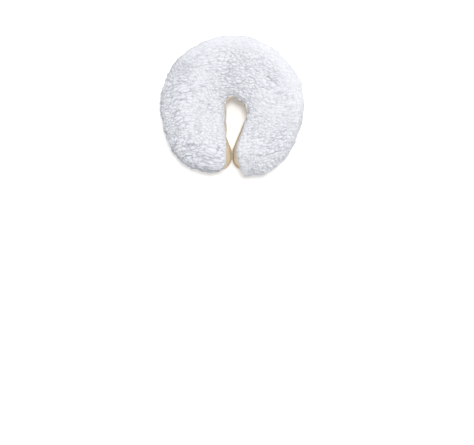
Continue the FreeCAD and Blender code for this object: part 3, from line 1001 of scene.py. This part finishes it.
def cushion_form():
    """The swollen vinyl cover of the cushion as one closed mesh, still without its seams."""
    vertices, quads = closed_cushion(4.5, -0.1)
    made = new_object("cushion_form", vertices, quads)
    flat = smooth(SKIN_BOTTOM + 3, SKIN_BOTTOM + 1, vertices[:, 2])
    inflate(made, np.maximum(near_seam(vertices[:, 2], 3.5), flat), 1.8)
    smoothed = made.modifiers.new("smooth", "SUBSURF")
    smoothed.levels = smoothed.render_levels = 1
    seen = made.evaluated_get(bpy.context.evaluated_depsgraph_get())
    made.data = bpy.data.meshes.new_from_object(seen)
    made.modifiers.clear()
    points = square_corner(points_of(made), 7.5)
    height = points[:, 2]
    side = SKIN.distance(points[:, 0], points[:, 1])
    at_wall = smooth(-6, -1, side)
    seam = near_seam(height, 2.8) * at_wall
    pucker = near_seam(height, 8.0) * at_wall * noise(points, 4.2, 301)
    crease = noise(points * (1, 1, 0.25), 9.0, 302) * near_seam(height, 16.0) * at_wall
    slack = noise(points, 38, 303)
    push = -0.4 * seam + 0.28 * pucker + 0.3 * crease + 0.35 * slack - 0.25
    points += vectors_of(made, "normal") * push[:, None]
    points[:, 2] = np.maximum(points[:, 2], SKIN_BOTTOM + 0.02)
    place_points(made, points)
    return made


def cut_panel(form, name, keep):
    """The faces of the form on one panel, given the thickness of vinyl."""
    edit = bmesh.new()
    edit.from_mesh(form.data)
    extra = [face for face in edit.faces if not keep(*(face.calc_center_median() / MM))]
    bmesh.ops.delete(edit, geom=extra, context="FACES")
    mesh = bpy.data.meshes.new(name)
    edit.to_mesh(mesh)
    edit.free()
    mesh.shade_smooth()
    made = dress(in_scene(name, mesh), CUSHION, "vinyl", VINYL)
    thick = made.modifiers.new("thickness", "SOLIDIFY")
    thick.thickness = 1.1 * MM
    thick.offset = -1
    return made


def cut_along(form, cuts):
    """Adds edges where planes cross the form, each given by a point and a normal."""
    edit = bmesh.new()
    edit.from_mesh(form.data)
    for place, way in cuts:
        everything = edit.verts[:] + edit.edges[:] + edit.faces[:]
        point = Vector(place) * MM
        bmesh.ops.bisect_plane(edit, geom=everything, plane_co=point, plane_no=way, dist=1e-6)
    edit.to_mesh(form.data)
    edit.free()


def vinyl_panels():
    """The four panels of the vinyl cover: top, bottom, and the inner and outer sides."""
    form = cushion_form()
    seams = [((0, 0, height), (0, 0, 1)) for height in (TOP_SEAM, BOTTOM_SEAM)]
    cut_along(form, seams + [((x, 0, 0), (1, 0, 0)) for x in (INNER_X, -INNER_X)])

    def inner(x, y, z):
        return BOTTOM_SEAM < z < TOP_SEAM and in_inner_zone(x, y)

    def outer(x, y, z):
        return BOTTOM_SEAM < z < TOP_SEAM and not in_inner_zone(x, y)

    for name, node, keep, flat, area, under in (
        ("top", "top_panel", lambda x, y, z: z > TOP_SEAM, (0.33, 0.32), 0.066, "top"),
        ("bottom", "bottom_panel", lambda x, y, z: z < BOTTOM_SEAM, (0.295, 0.285), 0.056, "base"),
        ("inner_side", "inner_band", inner, (0.052, 0.42), None, "base"),
        ("outer_side", "outer_band", outer, (0.052, 0.84), None, "base"),
    ):
        made = cut_panel(form, f"vinyl_{name}", keep)
        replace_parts(made, f"vinyl_{node}")
    bpy.data.objects.remove(form)


def seam_stitches(name, node):
    """Stitches on the vinyl beside a seam, all round."""
    points, outward, _ = along_outline(ALL_ROUND, 3.2)
    height = middle_height(node)
    flat = points + outward * 0.2
    places = np.column_stack([flat, np.full(len(flat), height)])
    out = np.pad(outward, ((0, 0), (0, 1)))
    along = np.cross(out, (0, 0, 1))
    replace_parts(sewn_row(name, places, along, out, CUSHION, "seam_thread"), node)


def ring_band(name, node, section, body, finish, material, seed):
    """A long piece that runs all round the cushion, from its section of side and height."""
    points, outward, run = along_outline(ALL_ROUND, 2.4)
    side, height = np.array(section, float).T
    s = run[:, None]
    side = side + 0.12 * ripple(s / 15, side / 9, seed=seed)
    height = height + 0.15 * ripple(s / 19, height / 30, seed=seed + 1)
    grid = lifted(points, outward, side, height)
    faces = grid_faces(*grid.shape[:2], closed_rows=True, closed_columns=True)
    made = solid_object(name, grid.reshape(-1, 3), faces, body, finish, material)
    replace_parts(made, node)


def welt(name, node):
    """Piping: a cord in its sleeve of vinyl, tucked against the seam."""
    low, high = box_mm(node)
    height, radius = middle_height(node), (high[2] - low[2]) / 2
    turn = np.arange(14) * math.tau / 14
    section = np.stack([0.5 + radius * np.cos(turn), height + radius * np.sin(turn)], axis=1)
    ring_band(name, node, section, CUSHION, "piping", WELT, 501)


def elastic_loop():
    """The loop of elastic in the hem's casing."""
    low, high = box_mm("hem_elastic")
    inner, outer = 4.9, 5.9
    up = np.linspace(low[2] + 0.2, high[2] - 0.2, 9)
    section = [(outer, z) for z in up] + [(inner, z) for z in up[::-1]]
    ring_band("elastic_band", "hem_elastic", section, COVER, "elastic", ELASTIC, 541)


def foam_block(name, node, low_z, high_z, finish, material):
    """A block of open-celled foam that fills the vinyl between two heights."""
    step = 2.6
    side_gap, top_gap = 3.0, 3.4

    def field(x, y, z):
        form = skin_field(x, y, z, -side_gap, -top_gap)
        return np.maximum(form, np.maximum(low_z - z, z - high_z))

    vertices, quads = field_surface(4, 4, low_z - 2 * step, high_z + 2 * step, step, field)
    rough = 0.25 * noise_vector(vertices, 3.1, 401)
    made = new_object(name, vertices + rough, quads, CUSHION, finish, material)
    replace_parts(made, node)


def rounded_loop(half_length, half_width, radius):
    """Points round a rectangle with rounded corners, the last one the same as the first."""
    turn = (np.arange(4)[:, None] + np.linspace(0, 1, 3)) * math.pi / 2
    signs = np.array([[1, 1], [-1, 1], [-1, -1], [1, -1]])
    middles = signs[:, None, :] * (half_length - radius, half_width - radius)
    points = middles + radius * np.stack([np.cos(turn), np.sin(turn)], axis=2)
    points = points.reshape(-1, 2)
    return np.append(points, points[:1], axis=0)


def loop_strip(side, turn):
    """A sewn-on strip: woven tape above, short pile below inside its selvedge, and its stitches."""
    node = f"{side}_loop_strip"
    low, high = box_mm(node)
    centre = (low + high) / 2
    half_length, half_width, corner, selvedge = 56.0, 19.0, 6.0, 4.0
    tape_low = high[2] - 1.0
    angle = math.radians(turn)
    cosine, sine = math.cos(angle), math.sin(angle)

    def placed(a, b, z):
        x = centre[0] + a * cosine - b * sine
        y = centre[1] + a * sine + b * cosine
        return np.stack([x, y, z], axis=-1)

    u = np.linspace(-1, 1, 121)
    v = np.linspace(-1, 1, 45)
    along = u[:, None] * (half_length - 0.1) + 0 * v
    end = np.clip(np.abs(along) - (half_length - corner), 0, corner)
    width = half_width - (corner - np.sqrt(np.maximum(corner**2 - end**2, 0.2)))
    across = v * (width - 0.1)
    inset = np.minimum(half_length - np.abs(along), half_width - np.abs(across))
    loops = smooth(selvedge - 0.4, selvedge + 0.6, inset)
    fuzz = ripple(along / 1.7, across / 1.7, seed=501)
    weave = ripple(along / 4, across / 1.2, seed=503)
    under = mix(tape_low + 0.06 * weave, low[2] + 0.35 + 0.3 * fuzz, loops)
    above = np.full_like(under, high[2] - 0.03)
    grid = np.stack([placed(along, across, above), placed(along, across, under)])
    shape = (grid.reshape(-1, 3), sheet_faces(*along.shape))
    made = solid_object(f"{side}_strip", *shape, CUSHION, "loop_tape", TAPE)
    add_attribute(made, "loops", np.concatenate([0 * loops.ravel(), loops.ravel()]))
    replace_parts(made, node)

    margin, pitch = 2.0, 3.3
    loop = rounded_loop(half_length - margin, half_width - margin, corner - margin)
    lengths = np.linalg.norm(np.diff(loop, axis=0), axis=1)
    travelled = np.append(0, np.cumsum(lengths))
    total = travelled[-1]
    count = int(total / pitch)
    level = np.full(count, tape_low - 0.12)

    def on_loop(distance):
        a, b = (np.interp(distance % total, travelled, loop[:, k]) for k in (0, 1))
        return placed(a, b, level)

    at = (np.arange(count) + 0.5) * total / count
    places = on_loop(at)
    ways = on_loop(at + 0.5) - places
    ways /= np.linalg.norm(ways, axis=1, keepdims=True)
    down = np.tile([0.0, 0.0, -1.0], (count, 1))
    row = sewn_row(f"{side}_strip_stitches", places, ways, down, CUSHION, "seam_thread")
    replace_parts(row, f"{side}_strip_thread")


# -------- camera, light and floor


def make_light(name, kind, place, energy, **settings):
    """A light that points at the origin."""
    light = bpy.data.lights.new(name, kind)
    light.energy = energy
    for setting, value in settings.items():
        setattr(light, setting, value)
    lamp = in_scene(name, light)
    lamp.location = place
    lamp.rotation_euler = (-Vector(place)).to_track_quat("-Z", "Y").to_euler()


def make_stage():
    """A pale floor that curves up far away into a backdrop, with soft light from above."""
    turn = np.linspace(0, math.pi / 2, 13)[1:]
    flat, curve, around = [60, 300, 900, 2000, 4000], 4000, 72
    radius = np.concatenate([flat, flat[-1] + curve * np.sin(turn)])
    height = np.concatenate([np.zeros(len(flat)), curve * (1 - np.cos(turn))])
    angle = np.arange(around)[:, None] * math.tau / around
    rings = [radius * np.cos(angle), radius * np.sin(angle), height + 0 * angle]
    rings = np.stack(rings, axis=2)
    faces = grid_faces(*rings.shape[:2], closed_rows=True)[:, ::-1].tolist()
    middle = (np.arange(around) * len(radius)).tolist()
    floor = new_object("floor", rings.reshape(-1, 3), faces + [middle])
    m = Nodes(
        "pale_floor", Base_Color=(0.92, 0.92, 0.92, 1), Roughness=0.9, Specular_IOR_Level=0.2,
        Emission_Color=(1, 1, 1, 1), Emission_Strength=0.24,
    )
    floor.data.materials.append(m.material)

    world = bpy.data.worlds.new("studio")
    world.use_nodes = True
    background = world.node_tree.nodes["Background"]
    background.inputs["Color"].default_value = (0.965, 0.98, 1.0, 1)
    background.inputs["Strength"].default_value = 0.30
    bpy.context.scene.world = world
    bpy.context.scene.view_settings.view_transform = "Standard"

    make_light("key", "AREA", (0.9, 1.1, 1.8), 11, size=1.2)
    make_light("fill", "AREA", (-1.6, -0.6, 1.9), 3, size=1.8)
    make_light("overhead", "SUN", (0.25, 0.4, 3.35), 1.94, angle=0.32)


def make_camera():
    """Nearly straight down, with the cushion above the middle of the picture."""
    view_width, distance, tilt = 1.057, 2.75, math.radians(2.5)
    camera = bpy.data.cameras.new("camera")
    made = in_scene("camera", camera)
    aim = Vector((0.0112, CENTRE_Y * MM - 0.262, 0.055))
    back = Vector((0, -math.sin(tilt), math.cos(tilt)))
    made.location = aim + back * distance
    made.rotation_euler = (tilt, 0, 0)
    camera.lens = camera.sensor_width * distance / view_width
    camera.clip_end = 20
    bpy.context.scene.camera = made


make_camera()
make_stage()

vinyl_panels()
for seam in ("top", "bottom"):
    welt(f"{seam}_welt", f"{seam}_piping")
elastic_loop()
for seam in ("top", "bottom"):
    seam_stitches(f"{seam}_seam_stitches", f"{seam}_seam_thread")
base_low, base_high = box_mm("foam_base")
foam_block("base_foam", "foam_base", base_low[2] + 0.9, base_high[2], "firm_foam", FIRM_FOAM)
foam_block("top_foam", "comfort_foam", base_high[2], SKIN_TOP, "soft_foam", SOFT_FOAM)
for strip_side, strip_turn in (("crown", 0), ("right", 82), ("left", 98)):
    loop_strip(strip_side, strip_turn)

panel = fleece_piece("fleece_top", COVER_SEAM - 9, FLEECE_TOP + 4, True)
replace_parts(panel, "fleece_top_panel")
skirt = fleece_piece("fleece_skirt", HEM_TOP - 6, COVER_SEAM + 8, False)
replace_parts(skirt, "fleece_outer_skirt")
cover_band()
for side, numbers, depth, bulk, seed, cut_to in (
    ("outer", OUTER_SIDE, 4.6, 0.7, 601, (0.029, 0.95)),
    ("inner", INNER_SIDE, 2.9, 0.3, 651, (0.024, 0.50)),
):
    casing, row = hem(f"{side}_hem", numbers, depth, bulk, seed)
    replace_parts(casing, f"{side}_hem_casing")
    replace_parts(row, f"{side}_hem_thread")
